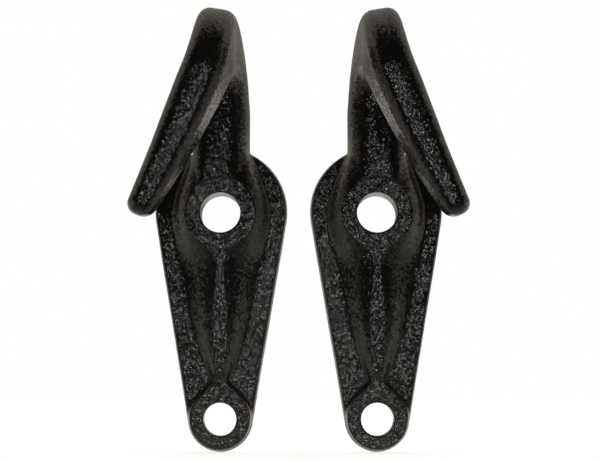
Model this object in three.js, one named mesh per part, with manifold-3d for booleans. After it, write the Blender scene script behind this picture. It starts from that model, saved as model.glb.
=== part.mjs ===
// A pair of drop-forged steel chain hooks that bolt to a truck or trailer frame, left hand and right hand.
// Each hook is one forging. A tapered back plate carries a large and a small bolt boss with a rib between
// them. From the large boss a neck rises, folds forward over itself and comes back down as a splayed arm.
// The space between neck and arm is the throat that holds the chain, shackle or strap.
//
// Units are millimetres. Z is up, the flat mounting backs lie on y = 0 and the fronts face -Y. The origin is
// on the mounting plane, midway between the two hooks, level with their large bolt holes. A hook is described
// in its own terms: across (to the right), depth (forward of the mounting plane) and height (above the large
// bolt hole). The left hook is modelled, and the right hook is its mirror image.
import * as THREE from 'three';
import { LoftGeometry } from 'three/addons/geometries/LoftGeometry.js';
import { mergeVertices } from 'three/addons/utils/BufferGeometryUtils.js';
import Module from 'manifold-3d';

const wasm = await Module();
wasm.setup();

// ---- driving dimensions ------------------------------------------------------------------------------
const INCH = 25.4;
const HOOK_SPACING = 77.5; // centre to centre of the pair
const HOLE_PITCH = 4 * INCH; // large bolt hole to small bolt hole
const LARGE_HOLE_R = ((25 / 32) * INCH) / 2; // clears a 3/4 in bolt
const SMALL_HOLE_R = ((41 / 64) * INCH) / 2; // clears a 5/8 in bolt

const PLATE_LARGE_R = 32.8; // plate outline round the large hole
const PLATE_SMALL_R = 15.7; // plate outline round the small hole
const PLATE_RISE = 1.2; // the plate's large end is centred this much above its hole
const MARGIN_T = 8.5; // thickness of the plate's flat margin
const EDGE_ROUND = 1.1; // rounding of the plate's edges

const LARGE_PAD_R = 17.5; // flat pad that the large bolt head seats on
const LARGE_PAD_T = 18;
const SMALL_PAD_R = 15.4; // flat teardrop pad round the small hole
const SMALL_PAD_T = 12.5;
const SMALL_PAD_POINT = 21.5; // height of the teardrop's point above the small hole
const PAD_CUT_DEPTH = 30; // how far forward the cutters of seats and holes reach

const NECK_HALF = 14.2; // half the width of the neck
const NECK_T = 20; // thickness of the neck's root, front to back
const BEND_R = 25; // radius of the bend, at the middle of the bar
const BEND_HEIGHT = 60; // height of the fold axis
const FOLD_TILT = THREE.MathUtils.degToRad(9); // the fold axis drops to the right
const ARM_SPLAY = THREE.MathUtils.degToRad(23); // the arm leans away from the neck
const MID_BEND_SHIFT = -5.3; // sideways run of the bar at the top of the bend
const END_BEND_SHIFT = -7.3; // and where the arm begins
const ARM_LENGTH = 71;
const TIP_ROUND = 5.6; // rounding of the arm's end
const CROWN_R = 24; // the arm's outer face is a shallow arch

const BEND_LENGTH = Math.PI * BEND_R;
const BAR_START = -BEND_HEIGHT + 6; // the neck is rooted inside the large boss
const BAR_END = BEND_LENGTH + ARM_LENGTH;

// The bar's section is a rounded wedge, narrower on the outside of the fold. Each station is a place along
// the bar, measured from the start of the bend, then the reach to the left and right of the bar's line at
// the outer face and at the inner face, how far those faces stand from the bar's middle, and the corner
// radii at the outer left and right and inner left and right.
const BAR_STATIONS = [
  [BAR_START, NECK_HALF, NECK_HALF, NECK_HALF, NECK_HALF, 10, 10, 3, 3, 8, 12],
  [-9, NECK_HALF, NECK_HALF, NECK_HALF, NECK_HALF, 10, 10.2, 4, 4, 8, 13],
  [0, 13.6, 13.3, 14, 14.4, 10, 12.5, 5, 6, 8, 15.5],
  [BEND_LENGTH / 2, 8.2, 8.6, 12, 13.4, 11.8, 20, 4.8, 5.5, 6, 10],
  [BEND_LENGTH, 8.8, 8.6, 12.2, 13.8, 9.6, 13, 4.6, 4.6, 4, 4.5],
  [BEND_LENGTH + 15, 8.4, 8.6, 11.2, 13, 9, 10.4, 4.4, 4.4, 4, 3.5],
  [BEND_LENGTH + 40, 7.4, 7.4, 9.8, 10.4, 7.4, 9.8, 4.2, 4.2, 4, 3.5],
  [BAR_END, 6.6, 4.2, 9, 4.8, 5, 9, 4, 4, 4, 3.5],
];

// The web stands on the plate between the bosses: a flat crest with a hollow flank on each side. Each row is
// a height, half the width of the crest, half the width of the foot, and the thickness at the crest.
const WEB_ROWS = [
  [-90, 2.7, 4, 12.4],
  [-80, 2.8, 5.2, 13.4],
  [-68, 3.4, 11.6, 14.4],
  [-56, 3.8, 15.9, 15.2],
  [-46, 3.7, 19, 15.9],
  [-34, 2.5, 21.6, 16.7],
  [-27, 1.9, 22.8, 17.2],
  [-20, 3.8, 23.9, 17.6],
  [-16, 6.8, 24.4, 17.8],
  [-10, 14.2, 25.2, 17.8],
  [0, LARGE_PAD_R, 25.8, 17.8],
  [12, 12.8, 24.2, 17.8],
  [22, 10.5, 20.5, 17.8],
  [29, 8, 16.6, 18],
];
const WEB_FOOT_DEPTH = MARGIN_T - 2; // the foot is sunk into the plate
const WEB_TOE_DEPTH = MARGIN_T - 0.2; // the flanks rise from just inside the margin's face
const FLANK_EASED = 0.6; // how much of a flank is an S-shaped rise, the rest being a parabola

const ROUND_STEPS = 44; // facets round a full circle
const CORNER_STEPS = 4; // facets round a corner of the bar
const TIP_LEAST = 0.15; // share of the bar's section that is left at its end
const FLANK_STEPS = 5; // facets across a flank
const SAME_POINT = 1e-4; // vertices this close are one
const BOSS_ROOT = 1; // the large boss starts this deep inside the plate
const CUT_SPARE = 5; // how far the hole cutters reach out behind the back

// A point of a hook from its own terms to the part's axes.
const place = (across, depth, height) => new THREE.Vector3(across, -depth, height);

// ---- solids ------------------------------------------------------------------------------------------

// A closed geometry as a solid that can be joined and cut.
function solidOf(geometry) {
  const bare = new THREE.BufferGeometry();
  bare.setAttribute('position', geometry.getAttribute('position'));
  bare.setIndex(geometry.index);
  const merged = mergeVertices(bare, SAME_POINT);
  const triVerts = Uint32Array.from(merged.index.array);
  const vertProperties = Float32Array.from(merged.attributes.position.array);
  return new wasm.Manifold(new wasm.Mesh({ numProp: 3, vertProperties, triVerts }));
}

function geometryOf(solid) {
  const { vertProperties, triVerts } = solid.getMesh();
  const geometry = new THREE.BufferGeometry();
  geometry.setAttribute('position', new THREE.BufferAttribute(vertProperties, 3));
  geometry.setIndex(new THREE.BufferAttribute(triVerts, 1));
  geometry.computeVertexNormals();
  return geometry;
}

// A round bar square to the mounting plane, from one depth to another.
function roundBar(radius, height, fromDepth, toDepth) {
  const geometry = new THREE.CylinderGeometry(radius, radius, toDepth - fromDepth, ROUND_STEPS);
  geometry.translate(0, -(fromDepth + toDepth) / 2, height);
  return solidOf(geometry);
}

// An outline drawn across and up, given a thickness forward of the mounting plane.
function slab(shape, thickness, edgeRound) {
  const geometry = new THREE.ExtrudeGeometry(shape, {
    depth: thickness - 2 * edgeRound,
    bevelEnabled: edgeRound > 0,
    bevelThickness: edgeRound,
    bevelSize: edgeRound,
    bevelOffset: -edgeRound,
    bevelSegments: 2,
    curveSegments: ROUND_STEPS / 2,
  });
  geometry.translate(0, 0, edgeRound);
  geometry.rotateX(Math.PI / 2);
  return solidOf(geometry);
}

// ---- back plate and bosses ---------------------------------------------------------------------------

// Two circles, one above the other, joined by their common tangents.
function taperedOutline(topHeight, topR, bottomHeight, bottomR) {
  const tilt = Math.asin((topR - bottomR) / (topHeight - bottomHeight));
  const shape = new THREE.Shape();
  shape.absarc(0, topHeight, topR, -tilt, Math.PI + tilt, false);
  shape.absarc(0, bottomHeight, bottomR, Math.PI + tilt, 2 * Math.PI - tilt, false);
  return shape;
}

// A circle with two straight sides that meet in a point above it.
function teardropOutline(radius, centre, pointHeight) {
  const open = Math.acos(radius / pointHeight);
  const shape = new THREE.Shape();
  shape.absarc(0, centre, radius, Math.PI / 2 + open, 2.5 * Math.PI - open, false);
  shape.lineTo(0, centre + pointHeight);
  return shape;
}

// How much of the rise from foot to crest is reached at a share of the way across the flank.
function flankRise(share) {
  return THREE.MathUtils.lerp(share ** 2, THREE.MathUtils.smootherstep(share, 0, 1), FLANK_EASED);
}

function webSection([height, crest, foot, thickness]) {
  const left = [];
  for (let i = 0; i <= FLANK_STEPS; i += 1) {
    const share = i / FLANK_STEPS;
    const reach = THREE.MathUtils.lerp(foot, crest, share);
    left.push([-reach, THREE.MathUtils.lerp(WEB_TOE_DEPTH, thickness, flankRise(share))]);
  }
  const right = left.map(([across, depth]) => [-across, depth]).reverse();
  const base = [[foot, WEB_FOOT_DEPTH], [-foot, WEB_FOOT_DEPTH]];
  return [...left, ...right, ...base].map(([across, depth]) => place(across, depth, height));
}

function web() {
  const sections = WEB_ROWS.map(webSection);
  return solidOf(new LoftGeometry(sections, { capStart: true, capEnd: true }));
}

// ---- neck, bend and arm ------------------------------------------------------------------------------

// A smooth curve between two values with given slopes, over a run that starts at 0.
function ease(at, run, from, fromSlope, to, toSlope) {
  const q = at / run;
  const start = (1 + 2 * q) * (1 - q) ** 2 * from + q * (1 - q) ** 2 * run * fromSlope;
  return start + q * q * (3 - 2 * q) * to + q * q * (q - 1) * run * toSlope;
}

// Where the bar's line lies along the fold axis, once the fold is rolled out flat.
function barLine(at) {
  const half = BEND_LENGTH / 2;
  const neckSlope = -Math.tan(FOLD_TILT);
  const midSlope = END_BEND_SHIFT / BEND_LENGTH;
  const armSlope = -Math.tan(ARM_SPLAY - FOLD_TILT);
  if (at < 0) return at * neckSlope;
  if (at < half) return ease(at, half, 0, neckSlope, MID_BEND_SHIFT, midSlope);
  if (at < BEND_LENGTH) return ease(at - half, half, MID_BEND_SHIFT, midSlope, END_BEND_SHIFT, armSlope);
  return END_BEND_SHIFT + (at - BEND_LENGTH) * armSlope;
}

// A point of the bar: a distance along it, one across it and one out from the middle of its thickness. The
// bar is laid out flat, then wrapped half a turn over the tilted fold axis.
function barPoint(at, side, out) {
  const step = 0.01;
  const slope = (barLine(at + step) - barLine(at - step)) / (2 * step);
  const cos = 1 / Math.hypot(1, slope);
  const along = at - side * slope * cos;
  const axial = barLine(at) + side * cos;
  const radius = BEND_R + out;
  const turn = THREE.MathUtils.clamp(along, 0, BEND_LENGTH) / BEND_R;
  const straight = along - THREE.MathUtils.clamp(along, 0, BEND_LENGTH);
  const up = radius * Math.sin(turn) + straight * Math.cos(turn);
  const forward = -radius * Math.cos(turn);
  const across = axial * Math.cos(FOLD_TILT) + up * Math.sin(FOLD_TILT);
  const height = BEND_HEIGHT - axial * Math.sin(FOLD_TILT) + up * Math.cos(FOLD_TILT);
  return place(across, NECK_T / 2 + BEND_R + forward, height);
}

const barSize = new THREE.CubicInterpolant(
  BAR_STATIONS.map((station) => station[0]),
  BAR_STATIONS.flatMap((station) => station.slice(1)),
  BAR_STATIONS[0].length - 1,
);

// An outline with no hollows, drawn anticlockwise, with each corner rounded to its own radius.
function roundedOutline(corners, radii) {
  return corners.flatMap((corner, i) => {
    const back = corners.at(i - 1).clone().sub(corner).normalize();
    const ahead = corners.at((i + 1) % corners.length).clone().sub(corner).normalize();
    const half = Math.acos(back.dot(ahead)) / 2;
    const inward = back.clone().add(ahead).normalize();
    const centre = corner.clone().addScaledVector(inward, radii[i] / Math.sin(half));
    const start = corner.clone().addScaledVector(back, radii[i] / Math.tan(half));
    const sweep = Math.PI - 2 * half;
    const arc = [];
    for (let k = 0; k <= CORNER_STEPS; k += 1) {
      arc.push(start.clone().rotateAround(centre, (sweep * k) / CORNER_STEPS));
    }
    return arc;
  });
}

// One ring of the bar. Over the rounded end the ring draws in from all sides.
function barSection(at) {
  const [left, right, inLeft, inRight, rise, sink, ...rounds] = barSize.evaluate(at);
  const tip = THREE.MathUtils.clamp((at - BAR_END) / TIP_ROUND + 1, 0, 1);
  const drawn = TIP_ROUND * (1 - Math.sqrt(1 - tip * tip));
  const middle = new THREE.Vector2((right - left + inRight - inLeft) / 4, (rise - sink) / 2);
  const scale = new THREE.Vector2(
    Math.max(1 - (4 * drawn) / (left + right + inLeft + inRight), TIP_LEAST),
    Math.max(1 - (2 * drawn) / (rise + sink), TIP_LEAST),
  );
  const wedge = [
    new THREE.Vector2(right, rise),
    new THREE.Vector2(-left, rise),
    new THREE.Vector2(-inLeft, -sink),
    new THREE.Vector2(inRight, -sink),
  ];
  const outline = roundedOutline(wedge, [rounds[1], rounds[0], rounds[2], rounds[3]]);
  outline.splice(CORNER_STEPS + 1, 0, new THREE.Vector2((right - left) / 2, rise));
  const arched = THREE.MathUtils.smoothstep(at, BEND_LENGTH / 2, BEND_LENGTH) / (2 * CROWN_R);
  return outline.map((point) => {
    const outward = (point.y + sink) / (rise + sink);
    point.y -= arched * outward * (point.x - (right - left) / 2) ** 2;
    point.sub(middle).multiply(scale).add(middle);
    return barPoint(at, point.x, point.y);
  });
}

function bar() {
  const stops = [BAR_START, -30, -9, -4];
  const bendSteps = 24;
  for (let i = 0; i < bendSteps; i += 1) stops.push((BEND_LENGTH * i) / bendSteps);
  const armSteps = 10;
  const armEnd = BAR_END - TIP_ROUND;
  for (let i = 0; i <= armSteps; i += 1) stops.push(THREE.MathUtils.lerp(BEND_LENGTH, armEnd, i / armSteps));
  const tipSteps = 5;
  for (let i = 1; i <= tipSteps; i += 1) {
    stops.push(armEnd + TIP_ROUND * Math.sin(((i / tipSteps) * Math.PI) / 2));
  }
  return solidOf(new LoftGeometry(stops.map(barSection), { capStart: true, capEnd: true }));
}

// ---- one forging -------------------------------------------------------------------------------------

function hookGeometry() {
  const smallHeight = -HOLE_PITCH;
  const outline = taperedOutline(PLATE_RISE, PLATE_LARGE_R, smallHeight, PLATE_SMALL_R);
  const plate = slab(outline, MARGIN_T, EDGE_ROUND);
  const largeBoss = roundBar(LARGE_PAD_R, 0, BOSS_ROOT, LARGE_PAD_T);
  const smallBoss = slab(teardropOutline(SMALL_PAD_R, smallHeight, SMALL_PAD_POINT), SMALL_PAD_T, 0);
  const largeSeat = roundBar(LARGE_PAD_R, 0, LARGE_PAD_T, PAD_CUT_DEPTH);
  const neckAndArm = bar().trimByPlane([0, -1, 0], 0); // nothing stands behind the mounting plane
  const blank = plate.add(web()).add(neckAndArm).add(largeBoss).add(smallBoss);
  const largeHole = roundBar(LARGE_HOLE_R, 0, -CUT_SPARE, PAD_CUT_DEPTH);
  const smallHole = roundBar(SMALL_HOLE_R, smallHeight, -CUT_SPARE, PAD_CUT_DEPTH);
  return geometryOf(blank.subtract(largeSeat).subtract(largeHole).subtract(smallHole));
}

function hook(name, hand) {
  const finish = new THREE.MeshStandardMaterial({ color: 0x151514, roughness: 0.5, metalness: 0.1 });
  const mesh = new THREE.Mesh(hookGeometry(), finish);
  mesh.name = name;
  mesh.position.x = (-hand * HOOK_SPACING) / 2;
  mesh.scale.x = hand;
  return mesh;
}

const group = new THREE.Group();
group.add(hook('left_hook', 1));
group.add(hook('right_hook', -1));

export default group;
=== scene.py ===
"""A pair of black powder-coated forged chain hooks, left hand and right hand.

The surface of each hook comes from one distance function: at any point it says how far the steel's skin is,
in millimetres. It uses the CAD model's driving dimensions, and smooth joins give it the forging's fillets,
drafts, parting line and rounded edges. A hook is described in its own terms: across (to the right), depth
(forward of the mounting plane) and height (above the large bolt hole).
"""
import bpy
import math
import numpy as np
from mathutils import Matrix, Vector


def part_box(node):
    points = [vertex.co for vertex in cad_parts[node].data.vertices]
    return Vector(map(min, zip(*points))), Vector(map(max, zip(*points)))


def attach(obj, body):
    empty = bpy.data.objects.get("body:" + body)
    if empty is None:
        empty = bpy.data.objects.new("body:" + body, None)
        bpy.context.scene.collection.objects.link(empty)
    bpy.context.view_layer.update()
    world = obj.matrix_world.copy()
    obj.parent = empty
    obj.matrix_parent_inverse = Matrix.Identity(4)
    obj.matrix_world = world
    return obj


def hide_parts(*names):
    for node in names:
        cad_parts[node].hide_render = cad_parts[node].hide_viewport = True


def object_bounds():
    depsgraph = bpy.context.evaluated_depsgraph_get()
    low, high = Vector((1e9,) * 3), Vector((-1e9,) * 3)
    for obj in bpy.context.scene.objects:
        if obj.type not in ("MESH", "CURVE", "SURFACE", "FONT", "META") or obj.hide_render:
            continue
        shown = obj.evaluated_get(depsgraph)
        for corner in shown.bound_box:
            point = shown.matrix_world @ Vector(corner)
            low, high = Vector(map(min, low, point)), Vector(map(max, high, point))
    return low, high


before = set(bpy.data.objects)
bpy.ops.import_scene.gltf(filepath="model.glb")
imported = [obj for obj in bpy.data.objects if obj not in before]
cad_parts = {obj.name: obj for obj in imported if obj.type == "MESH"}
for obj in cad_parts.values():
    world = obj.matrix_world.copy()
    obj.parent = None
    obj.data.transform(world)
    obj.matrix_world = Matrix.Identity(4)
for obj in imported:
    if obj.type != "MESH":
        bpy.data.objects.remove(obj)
cad_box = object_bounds()

MM = 0.001
INCH = 25.4

# ---- driving dimensions, in millimetres ---------------------------------------------------------------
HOLE_PITCH = 4 * INCH
LARGE_HOLE_R = 25 / 32 * INCH / 2
SMALL_HOLE_R = 41 / 64 * INCH / 2
HOLE_EDGE_ROUND = 0.7

PLATE_LARGE_R = 32.8
PLATE_SMALL_R = 15.7
PLATE_RISE = 1.2  # the plate's large end is centred this much above its hole
MARGIN_T = 8.5
MARGIN_FALL = math.tan(math.radians(4))  # the margin falls away towards the plate's edge
EDGE_ROUND = 1.1
EDGE_DRAFT = math.tan(math.radians(5))

LARGE_PAD_R = 17.5
LARGE_PAD_T = 18.0
SMALL_PAD_R = 15.4
SMALL_PAD_T = 12.5
SMALL_PAD_POINT = 21.5  # how far the teardrop's point stands above the small hole
SMALL_PAD_TIP_R = 1.0  # the teardrop's point is blunted to this radius
SMALL_PAD_WALL_FOOT = 1.1  # its wall starts this far outside its outline
SMALL_PAD_WALL_RUN = 1.8  # and takes this much to rise
LAND_STEP = 0.3  # the pad and the rib stand this much proud of the flanks
LAND_RUN = 1.4  # how wide that step is
SEAT_ROUND = 0.5  # the large pad's cut seat runs into its surroundings with this radius

# The rib's flat crest, with heights above the large hole.
RIB_HALF = 1.9  # half its width just below the large pad
RIB_WIDENS_AT = -25  # going down, it widens from here
RIB_WIDENING = 1.9
RIB_NARROWS_AT = -58  # and narrows again from here
RIB_NARROWING = 1.1
RIB_RUN = 24  # each of these two takes this long
RIB_FLARES_AT = -27  # going up, it spreads into the large pad from here
RIB_FLARE = 0.038
RIB_TOP = -12
RIB_BOTTOM = -92
RIB_END_BLEND = 8  # rounding of the corners at its two ends
CREST_BLEND = 2  # between the large pad and the rib
CREST_BLEND_GROWTH = 0.8  # the blend widens away from the land, so that the flanks below it turn gently
CREST_FALLS_AT = -16  # going down, the crest sinks from here
CREST_FALL = 4.6
CREST_RUN = 66

# Where the flanks meet the margin, as (across, height) control points of a curve below and above the hole.
FOOT_BELOW = ((26, 0), (22, -55), (3, -85))
FOOT_ABOVE = ((26, 0), (25, 14), (15, 32))
FLANK_EASED = 0.6  # how much of a flank is an S-shaped rise, the rest being a parabola

PARTING_HEIGHT = 0.28  # the trimmed flash line round the plate's edge
PARTING_WIDTH = 0.9
SLOW_WAVE = 0.09  # how far the surface strays from true, in long waves and in short ones
BRISK_WAVE = 0.035
LEAST_FILLET = 1.5  # blend between the bar and the plate where the neck's fillet does not reach

NECK_HALF = 14.2
NECK_T = 20.0
BEND_R = 25.0
BEND_HEIGHT = 60.0
FOLD_TILT = math.radians(9)
ARM_SPLAY = math.radians(23)
MID_BEND_SHIFT = -5.3
END_BEND_SHIFT = -7.3
ARM_LENGTH = 71.0
TIP_ROUND = 5.6
NECK_ROOT = 6.0  # the neck starts this far above the large hole, inside the large boss

# The blend between the neck and the plate, and where it fades out.
NECK_FILLET = 13.0  # its reach where it is whole
FILLET_BACK = 3.0  # at this depth it starts
FILLET_BACK_RUN = 9.0
FILLET_FRONT = 19.5  # at this depth, above the large pad, it ends
FILLET_EDGE = 1.0  # this far outside the plate's outline it ends
FILLET_FADE = 6.0  # the run of each of these two ends

BEND_LENGTH = math.pi * BEND_R
BAR_START = NECK_ROOT - BEND_HEIGHT
BAR_END = BEND_LENGTH + ARM_LENGTH
FOLD_DEPTH = NECK_T / 2 + BEND_R

# The bar's section is a rounded wedge, narrower on the outside of the fold. Each row is a place along the
# bar, then the reach to the left and right of the bar's line at the outer face and at the inner face, how
# far those faces stand from the bar's middle, and the corner radii at the outer left and right and inner
# left and right.
BAR_STATIONS = np.array([
    [BAR_START, NECK_HALF, NECK_HALF, NECK_HALF, NECK_HALF, 10.0, 10.0, 3.0, 3.0, 8.0, 12.0],
    [-9, NECK_HALF, NECK_HALF, NECK_HALF, NECK_HALF, 10.0, 10.2, 4.0, 4.0, 8.0, 13.0],
    [0, 13.6, 13.3, 14.0, 14.4, 10.0, 12.5, 5.0, 6.0, 8.0, 15.5],
    [BEND_LENGTH / 2, 8.2, 8.6, 12.0, 13.4, 11.8, 20.0, 4.8, 5.5, 6.0, 10.0],
    [BEND_LENGTH, 8.8, 8.6, 12.2, 13.8, 9.6, 13.0, 4.6, 4.6, 4.0, 4.5],
    [BEND_LENGTH + 15, 8.4, 8.6, 11.2, 13.0, 9.0, 10.4, 4.4, 4.4, 4.0, 3.5],
    [BEND_LENGTH + 40, 7.4, 7.4, 9.8, 10.4, 7.4, 9.8, 4.2, 4.2, 4.0, 3.5],
    [BAR_END, 6.6, 4.2, 9.0, 4.8, 5.0, 9.0, 4.0, 4.0, 4.0, 3.5],
])
CROWN_R = 24.0  # the arm's outer face is a shallow arch
CROWN_START = 40  # it begins this far along the bend and is whole at twice as far

GRID = 0.55  # spacing of the grid that the surface is drawn on
GRID_LOW = (-47.0, -2.0, -121.0)
GRID_HIGH = (37.0, 73.0, 99.0)
GRID_LAYERS = 24  # how many layers are worked out at a time


# ---- joins --------------------------------------------------------------------------------------------

def smooth_join(a, b, reach):
    """Union of two solids with a fillet between them."""
    near = np.maximum(reach - np.abs(a - b), 0) / reach
    return np.minimum(a, b) - near * near * near * reach / 6


def round_cut(a, b, radius):
    """What two solids share, with the edge between them rounded to a radius."""
    inner = np.minimum(np.maximum(a, b), -radius)
    return inner + np.hypot(np.maximum(a + radius, 0), np.maximum(b + radius, 0))


def ease(q):
    q = np.clip(q, 0, 1)
    return q * q * (3 - 2 * q)


# ---- back plate, bosses and rib -----------------------------------------------------------------------

def two_circle_hull(x, z, top_r, bottom_r, span):
    """Distance to the outline of two circles joined by tangents, the first round the origin and the
    second a span below it."""
    x = np.abs(x)
    down = -z
    sin = (top_r - bottom_r) / span
    cos = math.sqrt(1 - sin * sin)
    along = -sin * x + cos * down
    side = cos * x + sin * down - top_r
    top = np.hypot(x, down) - top_r
    bottom = np.hypot(x, down - span) - bottom_r
    return np.where(along < 0, top, np.where(along > cos * span, bottom, side))


def bezier_reach(z, start, control, end):
    """Distance across at a height, on a quadratic curve given by three (across, height) points."""
    a = start[1] - 2 * control[1] + end[1]
    b = 2 * (control[1] - start[1])
    c = start[1] - z
    root = np.sqrt(np.maximum(b * b - 4 * a * c, 0))
    t = np.clip(2 * c / (-b - np.copysign(root, b)), 0, 1)
    return (1 - t) ** 2 * start[0] + 2 * t * (1 - t) * control[0] + t * t * end[0]


def crest_distance(x, z):
    """Distance to the flat land on top of the spine: the large pad running into the rib."""
    pad = np.hypot(x, z) - LARGE_PAD_R
    half = RIB_HALF + RIB_WIDENING * ease((RIB_WIDENS_AT - z) / RIB_RUN)
    half = half - RIB_NARROWING * ease((RIB_NARROWS_AT - z) / RIB_RUN)
    half = half + RIB_FLARE * np.maximum(z - RIB_FLARES_AT, 0) ** 2
    ends = np.maximum(z - RIB_TOP, RIB_BOTTOM - z)
    rib = -smooth_join(half - np.abs(x), -ends, RIB_END_BLEND)
    away = np.maximum(np.minimum(pad, rib), 0)
    return smooth_join(pad, rib, CREST_BLEND + CREST_BLEND_GROWTH * away)


def front_depth(x, z):
    """How far forward the plate's front surface stands."""
    foot = np.where(z < 0, bezier_reach(z, *FOOT_BELOW), bezier_reach(z, *FOOT_ABOVE))
    crest = crest_distance(x, z)
    to_foot = foot - np.abs(x)
    inward = np.maximum(crest, 0)
    outward = np.maximum(to_foot, 0)
    share = outward / (inward + outward + 1e-6)
    eased = share ** 3 * (10 - 15 * share + 6 * share * share)
    rise = FLANK_EASED * eased + (1 - FLANK_EASED) * share * share
    spine_t = LARGE_PAD_T - CREST_FALL * np.clip((CREST_FALLS_AT - z) / CREST_RUN, 0, 1)
    margin = MARGIN_T - MARGIN_FALL * np.maximum(-to_foot, 0)
    land = LAND_STEP * ease(0.5 - crest / LAND_RUN)
    depth = margin + (spine_t - LAND_STEP - MARGIN_T) * rise + land
    span = SMALL_PAD_POINT - SMALL_PAD_TIP_R
    teardrop = two_circle_hull(x, -(z + HOLE_PITCH), SMALL_PAD_R, SMALL_PAD_TIP_R, span)
    pad = ease((SMALL_PAD_WALL_FOOT - teardrop) / SMALL_PAD_WALL_RUN)
    return depth + (SMALL_PAD_T - depth) * pad


def plate_outline(x, z):
    return two_circle_hull(x, z - PLATE_RISE, PLATE_LARGE_R, PLATE_SMALL_R, HOLE_PITCH + PLATE_RISE)


def plate_distance(x, d, z):
    sides = plate_outline(x, z) + EDGE_DRAFT * np.abs(d - MARGIN_T / 2) - parting_ridge(d - MARGIN_T / 2)
    step = 0.2
    slope_x = (front_depth(x + step, z) - front_depth(x - step, z)) / (2 * step)
    slope_z = (front_depth(x, z + step) - front_depth(x, z - step)) / (2 * step)
    front = (d - front_depth(x, z)) / np.sqrt(1 + slope_x ** 2 + slope_z ** 2)
    return round_cut(round_cut(sides, front, EDGE_ROUND), -d, EDGE_ROUND)


def parting_ridge(off):
    """The trimmed line of flash that a forging's dies leave round its middle."""
    return PARTING_HEIGHT * np.exp(-(off / PARTING_WIDTH) ** 2)


# ---- neck, bend and arm -------------------------------------------------------------------------------

def curve(at, run, start, start_slope, end, end_slope):
    """A smooth curve between two values with given slopes, over a run that starts at 0."""
    q = at / run
    first = (1 + 2 * q) * (1 - q) ** 2 * start + q * (1 - q) ** 2 * run * start_slope
    return first + q * q * (3 - 2 * q) * end + q * q * (q - 1) * run * end_slope


def bar_line(at):
    """Where the bar's line lies along the fold axis, once the fold is rolled out flat."""
    half = BEND_LENGTH / 2
    neck_slope = -math.tan(FOLD_TILT)
    mid_slope = END_BEND_SHIFT / BEND_LENGTH
    arm_slope = -math.tan(ARM_SPLAY - FOLD_TILT)
    first = curve(np.clip(at, 0, half), half, 0, neck_slope, MID_BEND_SHIFT, mid_slope)
    past_half = np.clip(at - half, 0, half)
    second = curve(past_half, half, MID_BEND_SHIFT, mid_slope, END_BEND_SHIFT, arm_slope)
    line = np.where(at < half, first, second)
    return line + np.minimum(at, 0) * neck_slope + np.maximum(at - BEND_LENGTH, 0) * arm_slope


def bar_sizes(at):
    """The bar's sizes at a place along it, on smooth curves through the stations."""
    places = BAR_STATIONS[:, 0]
    sizes = BAR_STATIONS[:, 1:]
    gaps = np.diff(places)[:, None]
    rates = np.diff(sizes, axis=0) / gaps
    slopes = np.zeros_like(sizes)
    same_way = rates[:-1] * rates[1:] > 0
    total = np.where(same_way, rates[:-1] + rates[1:], 1)
    slopes[1:-1] = np.where(same_way, 2 * rates[:-1] * rates[1:] / total, 0)
    slopes[-1] = rates[-1]
    at = np.clip(at, places[0], places[-1])
    span = np.clip(np.searchsorted(places, at, side="right") - 1, 0, len(places) - 2)
    out = []
    for column in range(sizes.shape[1]):
        out.append(curve(
            at - places[span], gaps[span, 0], sizes[span, column], slopes[span, column],
            sizes[span + 1, column], slopes[span + 1, column]))
    return out


def unfold(x, d, z):
    """A point in the bar's terms: how far along the bar, across it and out from its middle."""
    sin, cos = math.sin(FOLD_TILT), math.cos(FOLD_TILT)
    up = x * sin + (z - BEND_HEIGHT) * cos
    axial = x * cos - (z - BEND_HEIGHT) * sin
    forward = d - FOLD_DEPTH
    on_bend = up > 0
    turned = BEND_R * np.arctan2(np.maximum(up, 0), -forward)
    along = np.where(on_bend, turned, np.where(forward < 0, up, BEND_LENGTH - up))
    out = np.where(on_bend, np.hypot(up, forward), np.abs(forward)) - BEND_R
    at = along
    step = 0.5
    for _ in range(3):
        slope = (bar_line(at + step) - bar_line(at - step)) / (2 * step)
        at = at + ((along - at) + (axial - bar_line(at)) * slope) / (1 + slope * slope)
    slope = (bar_line(at + step) - bar_line(at - step)) / (2 * step)
    side = ((axial - bar_line(at)) - (along - at) * slope) / np.sqrt(1 + slope * slope)
    return at, side, out


def bar_distance(x, d, z):
    """Distance to the neck, bend and arm."""
    at, side, out = unfold(x, d, z)
    left, right, in_left, in_right, rise, sink, *corners = bar_sizes(at)
    to_right = side > (right - left) / 2
    outer_reach = np.where(to_right, right, left)
    inner_reach = np.where(to_right, in_right, in_left)
    outer_corner = np.where(to_right, corners[1], corners[0])
    inner_corner = np.where(to_right, corners[3], corners[2])
    draft = (inner_reach - outer_reach) / (rise + sink)
    reach = outer_reach + (rise - out) * draft
    flank = (np.where(to_right, side, -side) - reach) / np.sqrt(1 + draft * draft)
    off = side - (right - left) / 2
    arch = ease(at / CROWN_START - 1) * off * off / (2 * CROWN_R)
    ring = round_cut(round_cut(flank, out - rise + arch, outer_corner), -out - sink, inner_corner)
    ended = round_cut(ring, at - BAR_END, TIP_ROUND)
    return np.maximum(ended, BAR_START - at)


# ---- one forging --------------------------------------------------------------------------------------

def forged_unevenness(x, d, z):
    """Slow, shallow waves that a hammered and blasted surface keeps."""
    slow = np.sin(x / 5.3 + 1.1) * np.sin(d / 6.1 + 0.4) * np.sin(z / 7.7 + 2.0)
    brisk = np.sin(x / 1.9 + z / 3.1) * np.sin(d / 2.3 - x / 4.7 + 0.7) * np.sin(z / 2.2 + d / 3.7)
    return SLOW_WAVE * slow + BRISK_WAVE * brisk


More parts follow.
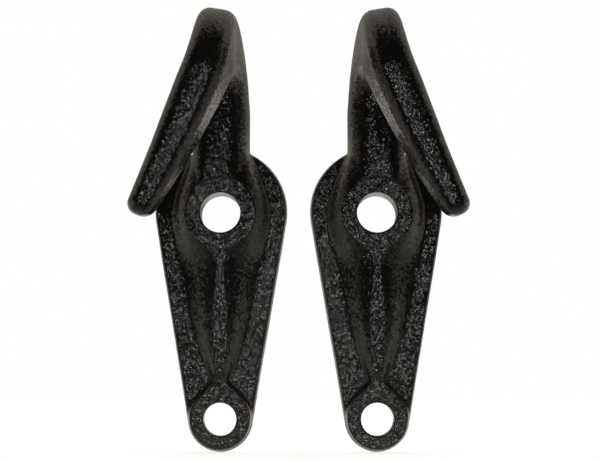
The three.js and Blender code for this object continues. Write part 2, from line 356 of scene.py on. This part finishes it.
def hook_distance(x, d, z):
    past_back = ease((d - FILLET_BACK) / FILLET_BACK_RUN)
    short_of_front = ease((FILLET_FRONT - d) / FILLET_FADE)
    short_of_edge = ease((FILLET_EDGE - plate_outline(x, z)) / FILLET_FADE)
    fillet = LEAST_FILLET + (NECK_FILLET - LEAST_FILLET) * past_back * short_of_front * short_of_edge
    body = smooth_join(plate_distance(x, d, z), bar_distance(x, d, z), fillet)
    body = np.maximum(body, -d)
    seat = np.maximum(np.hypot(x, z) - LARGE_PAD_R, LARGE_PAD_T - d)
    body = round_cut(body, -seat, SEAT_ROUND)
    body = body + forged_unevenness(x, d, z)
    large_hole = LARGE_HOLE_R - np.hypot(x, z)
    small_hole = SMALL_HOLE_R - np.hypot(x, z + HOLE_PITCH)
    body = round_cut(body, large_hole, HOLE_EDGE_ROUND)
    return round_cut(body, small_hole, HOLE_EDGE_ROUND)


# ---- skinning -----------------------------------------------------------------------------------------

def sample(low, high):
    """The distance function on a grid, with the grid's low corner."""
    steps = [np.arange(a, b + GRID, GRID) for a, b in zip(low, high)]
    x = steps[0][:, None, None].astype(np.float32)
    d = steps[1][None, :, None].astype(np.float32)
    values = np.empty([len(s) for s in steps], np.float32)
    for first in range(0, len(steps[2]), GRID_LAYERS):
        z = steps[2][None, None, first:first + GRID_LAYERS].astype(np.float32)
        values[:, :, first:first + GRID_LAYERS] = hook_distance(x, d, z)
    return values, np.array([s[0] for s in steps])


def surface_net(values):
    """The zero surface of a grid of distances: a point in each cell that it crosses, and a four-sided face
    round each grid edge that it crosses."""
    inside = values < 0
    unit = np.eye(3, dtype=int)
    cells, crossings = [], []
    for axis in range(3):
        count = values.shape[axis] - 1
        lower = np.take(inside, range(count), axis)
        upper = np.take(inside, range(1, count + 1), axis)
        edge = np.argwhere(lower != upper)
        before = values[tuple(edge.T)]
        after = values[tuple((edge + unit[axis]).T)]
        point = edge + (before / (before - after))[:, None] * unit[axis]
        u, v = unit[(axis + 1) % 3], unit[(axis + 2) % 3]
        ring = np.stack([edge, edge - u, edge - u - v, edge - v], axis=1)
        ring[before > 0] = ring[before > 0][:, ::-1]
        cells.append(ring)
        crossings.append(np.repeat(point[:, None], 4, axis=1))
    cells = np.concatenate(cells)
    crossings = np.concatenate(crossings).reshape(-1, 3)
    names = np.ravel_multi_index(tuple(cells.reshape(-1, 3).T), values.shape)
    _, corner = np.unique(names, return_inverse=True)
    corner = corner.ravel()
    shared = np.bincount(corner)[:, None]
    points = np.stack([np.bincount(corner, crossings[:, k]) for k in range(3)], axis=1) / shared
    return points, corner.reshape(-1, 4)


def onto_surface(points):
    """Moves points along the distance function's slope until they lie on the skin."""
    step = 0.04
    for _ in range(3):
        here = hook_distance(*points.T)
        slope = np.empty_like(points)
        for k in range(3):
            ahead, behind = points.copy(), points.copy()
            ahead[:, k] += step
            behind[:, k] -= step
            slope[:, k] = (hook_distance(*ahead.T) - hook_distance(*behind.T)) / (2 * step)
        steep = np.maximum((slope ** 2).sum(axis=1), 0.2)  # not less, so that no step gets wild
        move = (here / steep)[:, None] * slope
        points = points - np.clip(move, -GRID / 2, GRID / 2)
    return points


def even_out(points, faces):
    """Each point moves halfway to the middle of its neighbours."""
    start = faces.ravel()
    end = np.roll(faces, -1, axis=1).ravel()
    both, other = np.concatenate([start, end]), np.concatenate([end, start])
    count = np.bincount(both, minlength=len(points))[:, None]
    total = np.stack([np.bincount(both, points[other, k], len(points)) for k in range(3)], axis=1)
    return (points + total / count) / 2


def hook_skin():
    """The skin of the left hook in its own terms: its points and its four-sided faces."""
    values, corner = sample(GRID_LOW, GRID_HIGH)
    points, faces = surface_net(values)
    points = onto_surface(points * GRID + corner)
    for _ in range(2):
        points = onto_surface(even_out(points, faces))
    return points, faces


def make_hook(name, cad_node, skin, hand, centre):
    """A mesh object of a hook. hand is 1 for the left hook as drawn, and -1 for its mirror image."""
    points, faces = skin
    across = hand * points[:, 0] * MM + centre
    placed = np.stack([across, -points[:, 1] * MM, points[:, 2] * MM], axis=1)
    # forward of the mounting plane is -Y, which turns the faces round once, and mirroring does so again
    order = faces[:, ::-1] if hand > 0 else faces
    mesh = bpy.data.meshes.new(name)
    mesh.vertices.add(len(placed))
    mesh.vertices.foreach_set("co", placed.ravel())
    mesh.loops.add(order.size)
    mesh.loops.foreach_set("vertex_index", np.ascontiguousarray(order).ravel())
    mesh.polygons.add(len(order))
    mesh.polygons.foreach_set("loop_start", np.arange(0, order.size, 4))
    mesh.polygons.foreach_set("use_smooth", np.ones(len(order), bool))
    mesh.update()
    mesh.validate()
    piece = bpy.data.objects.new(name, mesh)
    bpy.context.collection.objects.link(piece)
    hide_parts(cad_node)
    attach(piece, "root")
    return piece


# ---- camera -------------------------------------------------------------------------------------------

VIEW_DISTANCE = 0.80  # from the mounting plane to the camera, in metres
VIEW_HEIGHT = -0.088  # the camera's height above the large holes
AIM_HEIGHT = -0.0075  # the height that it is turned to
SIDE_STEP = 0.00065  # how far it stands to the right of the middle
VIEW_WIDTH = 0.30227  # how much of the mounting plane the picture takes in, in metres
SENSOR_WIDTH = 36

camera_data = bpy.data.cameras.new("camera")
camera = bpy.data.objects.new("camera", camera_data)
bpy.context.collection.objects.link(camera)
camera.location = (SIDE_STEP, -VIEW_DISTANCE, VIEW_HEIGHT)
aim = Vector((SIDE_STEP, 0, AIM_HEIGHT)) - camera.location
camera.rotation_euler = aim.to_track_quat("-Z", "Y").to_euler()
camera_data.sensor_width = SENSOR_WIDTH
camera_data.lens = SENSOR_WIDTH * aim.length / VIEW_WIDTH
camera_data.clip_start = 0.01
bpy.context.scene.camera = camera


# ---- world, floor and lights --------------------------------------------------------------------------

def add_node(tree, kind, **settings):
    made = tree.nodes.new(kind)
    for key, value in settings.items():
        setattr(made, key, value)
    return made


# What the hooks reflect of the room, from straight behind them (0) to straight behind the camera (1).
ROOM_STOPS = (
    (0.0, (0.30, 0.28, 0.25, 1)),
    (0.13, (0.44, 0.41, 0.36, 1)),
    (0.44, (0.74, 0.68, 0.58, 1)),
    (0.54, (0.50, 0.46, 0.39, 1)),
    (0.61, (0.22, 0.20, 0.17, 1)),
    (0.72, (0.02, 0.02, 0.02, 1)),
    (1.0, (0.015, 0.015, 0.015, 1)),
)


def paint_ramp(ramp, stops):
    """Sets a colour ramp's stops, of which the first and the last are there already."""
    elements = ramp.color_ramp.elements
    for element, (place, colour) in zip(elements, (stops[0], stops[-1])):
        element.position = place
        element.color = colour
    for place, colour in stops[1:-1]:
        elements.new(place).color = colour


def seen_or_reflected(tree, seen, reflected, output):
    """One shader where the camera sees it directly, and another for its light and reflections."""
    path = add_node(tree, "ShaderNodeLightPath")
    mix = add_node(tree, "ShaderNodeMixShader")
    tree.links.new(path.outputs["Is Camera Ray"], mix.inputs["Fac"])
    tree.links.new(reflected, mix.inputs[1])
    tree.links.new(seen, mix.inputs[2])
    tree.links.new(mix.outputs["Shader"], output)


def make_world():
    """A white background where it is seen. What lights the hooks is a warm room, bright at the sides and
    behind the hooks, and dark in front of them, behind the camera."""
    world = bpy.data.worlds.new("studio")
    world.use_nodes = True
    bpy.context.scene.world = world
    tree = world.node_tree
    tree.nodes.clear()
    output = add_node(tree, "ShaderNodeOutputWorld")
    seen = add_node(tree, "ShaderNodeBackground")
    seen.inputs["Color"].default_value = (1, 1, 1, 1)
    seen.inputs["Strength"].default_value = 1.0
    room = add_node(tree, "ShaderNodeBackground")
    room.inputs["Strength"].default_value = 1.0
    coordinates = add_node(tree, "ShaderNodeTexCoord")
    facing = add_node(tree, "ShaderNodeVectorMath", operation="DOT_PRODUCT")
    facing.inputs[1].default_value = (0, -1, 0)
    tree.links.new(coordinates.outputs["Generated"], facing.inputs[0])
    half = add_node(tree, "ShaderNodeMapRange")
    half.inputs["From Min"].default_value = -1
    half.inputs["From Max"].default_value = 1
    tree.links.new(facing.outputs["Value"], half.inputs["Value"])
    ramp = add_node(tree, "ShaderNodeValToRGB")
    paint_ramp(ramp, ROOM_STOPS)
    tree.links.new(half.outputs["Result"], ramp.inputs["Fac"])
    tree.links.new(ramp.outputs["Color"], room.inputs["Color"])
    seen_or_reflected(tree, seen.outputs["Background"], room.outputs["Background"], output.inputs["Surface"])


FLOOR_REACH = 6.0
FLOOR_GAP = 0.0004  # the floor lies this far below the part's box
FLOOR_DARK = 0.01  # its light in front
FLOOR_DARK_AT = -0.20
FLOOR_BRIGHT = 0.85  # its light behind
FLOOR_BRIGHT_AT = 0.12
FLOOR_SIDE_SHARE = 0.35  # a step to the side counts this much of a step to the back


def make_floor():
    """A white floor where it is seen. Its light on the hooks fades from bright behind to dark in front."""
    mesh = bpy.data.meshes.new("floor")
    corners = [(x * FLOOR_REACH, y * FLOOR_REACH, 0) for x, y in ((-1, -1), (1, -1), (1, 1), (-1, 1))]
    mesh.from_pydata(corners, [], [(0, 1, 2, 3)])
    floor = bpy.data.objects.new("floor", mesh)
    floor.location.z = cad_box[0][2] - FLOOR_GAP
    bpy.context.collection.objects.link(floor)
    paint = bpy.data.materials.new("floor_paint")
    paint.use_nodes = True
    tree = paint.node_tree
    shader = tree.nodes["Principled BSDF"]
    shader.inputs["Base Color"].default_value = (0.9, 0.9, 0.9, 1)
    shader.inputs["Roughness"].default_value = 1.0
    shader.inputs["Specular IOR Level"].default_value = 0.0
    shader.inputs["Emission Color"].default_value = (1, 1, 1, 1)
    shader.inputs["Emission Strength"].default_value = 0.75
    coordinates = add_node(tree, "ShaderNodeTexCoord")
    parts = add_node(tree, "ShaderNodeSeparateXYZ")
    tree.links.new(coordinates.outputs["Object"], parts.inputs["Vector"])
    aside = add_node(tree, "ShaderNodeMath", operation="ABSOLUTE")
    tree.links.new(parts.outputs["X"], aside.inputs[0])
    place = add_node(tree, "ShaderNodeMath", operation="MULTIPLY_ADD")
    place.inputs[1].default_value = FLOOR_SIDE_SHARE
    tree.links.new(aside.outputs["Value"], place.inputs[0])
    tree.links.new(parts.outputs["Y"], place.inputs[2])
    fade = add_node(tree, "ShaderNodeMapRange")
    fade.inputs["From Min"].default_value = FLOOR_DARK_AT
    fade.inputs["From Max"].default_value = FLOOR_BRIGHT_AT
    fade.inputs["To Min"].default_value = FLOOR_DARK
    fade.inputs["To Max"].default_value = FLOOR_BRIGHT
    tree.links.new(place.outputs["Value"], fade.inputs["Value"])
    lit = add_node(tree, "ShaderNodeEmission")
    lit.inputs["Color"].default_value = (1.0, 0.94, 0.86, 1)
    tree.links.new(fade.outputs["Result"], lit.inputs["Strength"])
    surface = tree.nodes["Material Output"].inputs["Surface"]
    seen_or_reflected(tree, shader.outputs["BSDF"], lit.outputs["Emission"], surface)
    mesh.materials.append(paint)


NEUTRAL = (1.0, 0.97, 0.92)
BLUE = (0.80, 0.86, 1.0)
WARM = (1.0, 0.94, 0.84)
LAMP_Y = -VIEW_DISTANCE  # the lamps stand as far in front as the camera
GAP_TALL = 0.15


def softbox(name, place, aim_at, size, watts, colour):
    data = bpy.data.lights.new(name, "AREA")
    data.shape = "DISK"
    data.size = size
    data.energy = watts
    data.color = colour
    lamp = bpy.data.objects.new(name, data)
    lamp.location = place
    lamp.rotation_euler = (Vector(aim_at) - Vector(place)).to_track_quat("-Z", "Y").to_euler()
    lamp.visible_camera = False
    bpy.context.collection.objects.link(lamp)
    return lamp


def make_lights():
    """Small lamps in front make the coat's grain sparkle. Two thin lights between the hooks shine on their
    inner sides, which would otherwise reflect little but each other."""
    for hand, side in (("left", -1), ("right", 1)):
        softbox("key_" + hand, (side * 0.21, LAMP_Y, -0.09), (side * 0.04, 0, -0.02), 0.05, 0.38, NEUTRAL)
        softbox("arm_" + hand, (side * 0.13, LAMP_Y, 0.09), (side * 0.06, 0, 0.02), 0.04, 0.10, NEUTRAL)
        gap_at, gap_aim = (side * 0.001, 0.008, -0.03), (side * 0.1, 0.008, -0.03)
        gap = softbox("gap_" + hand, gap_at, gap_aim, 0.06, 0.009, WARM)
        gap.data.shape = "RECTANGLE"
        gap.data.size_y = GAP_TALL
    softbox("fill", (0, LAMP_Y, -0.02), (0, 0, 0), 0.05, 0.03, BLUE)


# ---- powder coat --------------------------------------------------------------------------------------

GRAIN_SCALE = 1150  # grains to a metre
FINE_SCALE = 1500
CLOUD_SCALE = 90
GRAIN_TILT = 0.14  # how far a grain's face leans, at most, along each axis
FINE_RELIEF = 0.00008
LEAST_ROUGH = 0.13
MOST_ROUGH = 0.22
DARK_COAT = (0.008, 0.0072, 0.0064, 1)
LIGHT_COAT = (0.016, 0.0145, 0.0125, 1)


def powder_coat():
    """Black powder coat with a coarse, glossy grain."""
    material = bpy.data.materials.new("black_powder_coat")
    material.use_nodes = True
    tree = material.node_tree
    shader = tree.nodes["Principled BSDF"]
    shader.inputs["Specular IOR Level"].default_value = 0.5
    coordinates = add_node(tree, "ShaderNodeTexCoord")

    grain = add_node(tree, "ShaderNodeTexVoronoi", feature="F1")
    grain.inputs["Scale"].default_value = GRAIN_SCALE
    fine = add_node(tree, "ShaderNodeTexNoise")
    fine.inputs["Scale"].default_value = FINE_SCALE
    fine.inputs["Detail"].default_value = 1
    cloud = add_node(tree, "ShaderNodeTexNoise")
    cloud.inputs["Scale"].default_value = CLOUD_SCALE
    cloud.inputs["Detail"].default_value = 4
    for texture in (grain, fine, cloud):
        tree.links.new(coordinates.outputs["Object"], texture.inputs["Vector"])

    # each grain of the coat lies at its own small tilt
    geometry = add_node(tree, "ShaderNodeNewGeometry")
    tilt = add_node(tree, "ShaderNodeVectorMath", operation="MULTIPLY_ADD")
    tilt.inputs[1].default_value = (2 * GRAIN_TILT,) * 3
    tilt.inputs[2].default_value = (-GRAIN_TILT,) * 3
    tree.links.new(grain.outputs["Color"], tilt.inputs[0])
    facet = add_node(tree, "ShaderNodeVectorMath", operation="ADD")
    tree.links.new(geometry.outputs["Normal"], facet.inputs[0])
    tree.links.new(tilt.outputs["Vector"], facet.inputs[1])
    unit = add_node(tree, "ShaderNodeVectorMath", operation="NORMALIZE")
    tree.links.new(facet.outputs["Vector"], unit.inputs[0])
    bump = add_node(tree, "ShaderNodeBump")
    bump.inputs["Strength"].default_value = 1.0
    bump.inputs["Distance"].default_value = FINE_RELIEF
    tree.links.new(fine.outputs["Fac"], bump.inputs["Height"])
    tree.links.new(unit.outputs["Vector"], bump.inputs["Normal"])
    tree.links.new(bump.outputs["Normal"], shader.inputs["Normal"])

    tone = add_node(tree, "ShaderNodeMapRange")
    tone.inputs["To Min"].default_value = LEAST_ROUGH
    tone.inputs["To Max"].default_value = MOST_ROUGH
    tree.links.new(cloud.outputs["Fac"], tone.inputs["Value"])
    tree.links.new(tone.outputs["Result"], shader.inputs["Roughness"])

    colour = add_node(tree, "ShaderNodeValToRGB")
    paint_ramp(colour, ((0.0, DARK_COAT), (1.0, LIGHT_COAT)))
    tree.links.new(cloud.outputs["Fac"], colour.inputs["Fac"])
    tree.links.new(colour.outputs["Color"], shader.inputs["Base Color"])
    return material


# ---- the scene ----------------------------------------------------------------------------------------

bpy.context.scene.view_settings.view_transform = "Standard"
make_world()
make_floor()
make_lights()
coat = powder_coat()
skin = hook_skin()
for side, hand in (("left", 1), ("right", -1)):
    low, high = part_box(side + "_hook")
    inner = high[0] if hand > 0 else low[0]
    centre = inner - hand * PLATE_LARGE_R * MM
    hook = make_hook(side + "_forging", side + "_hook", skin, hand, centre)
    hook.data.materials.append(coat)
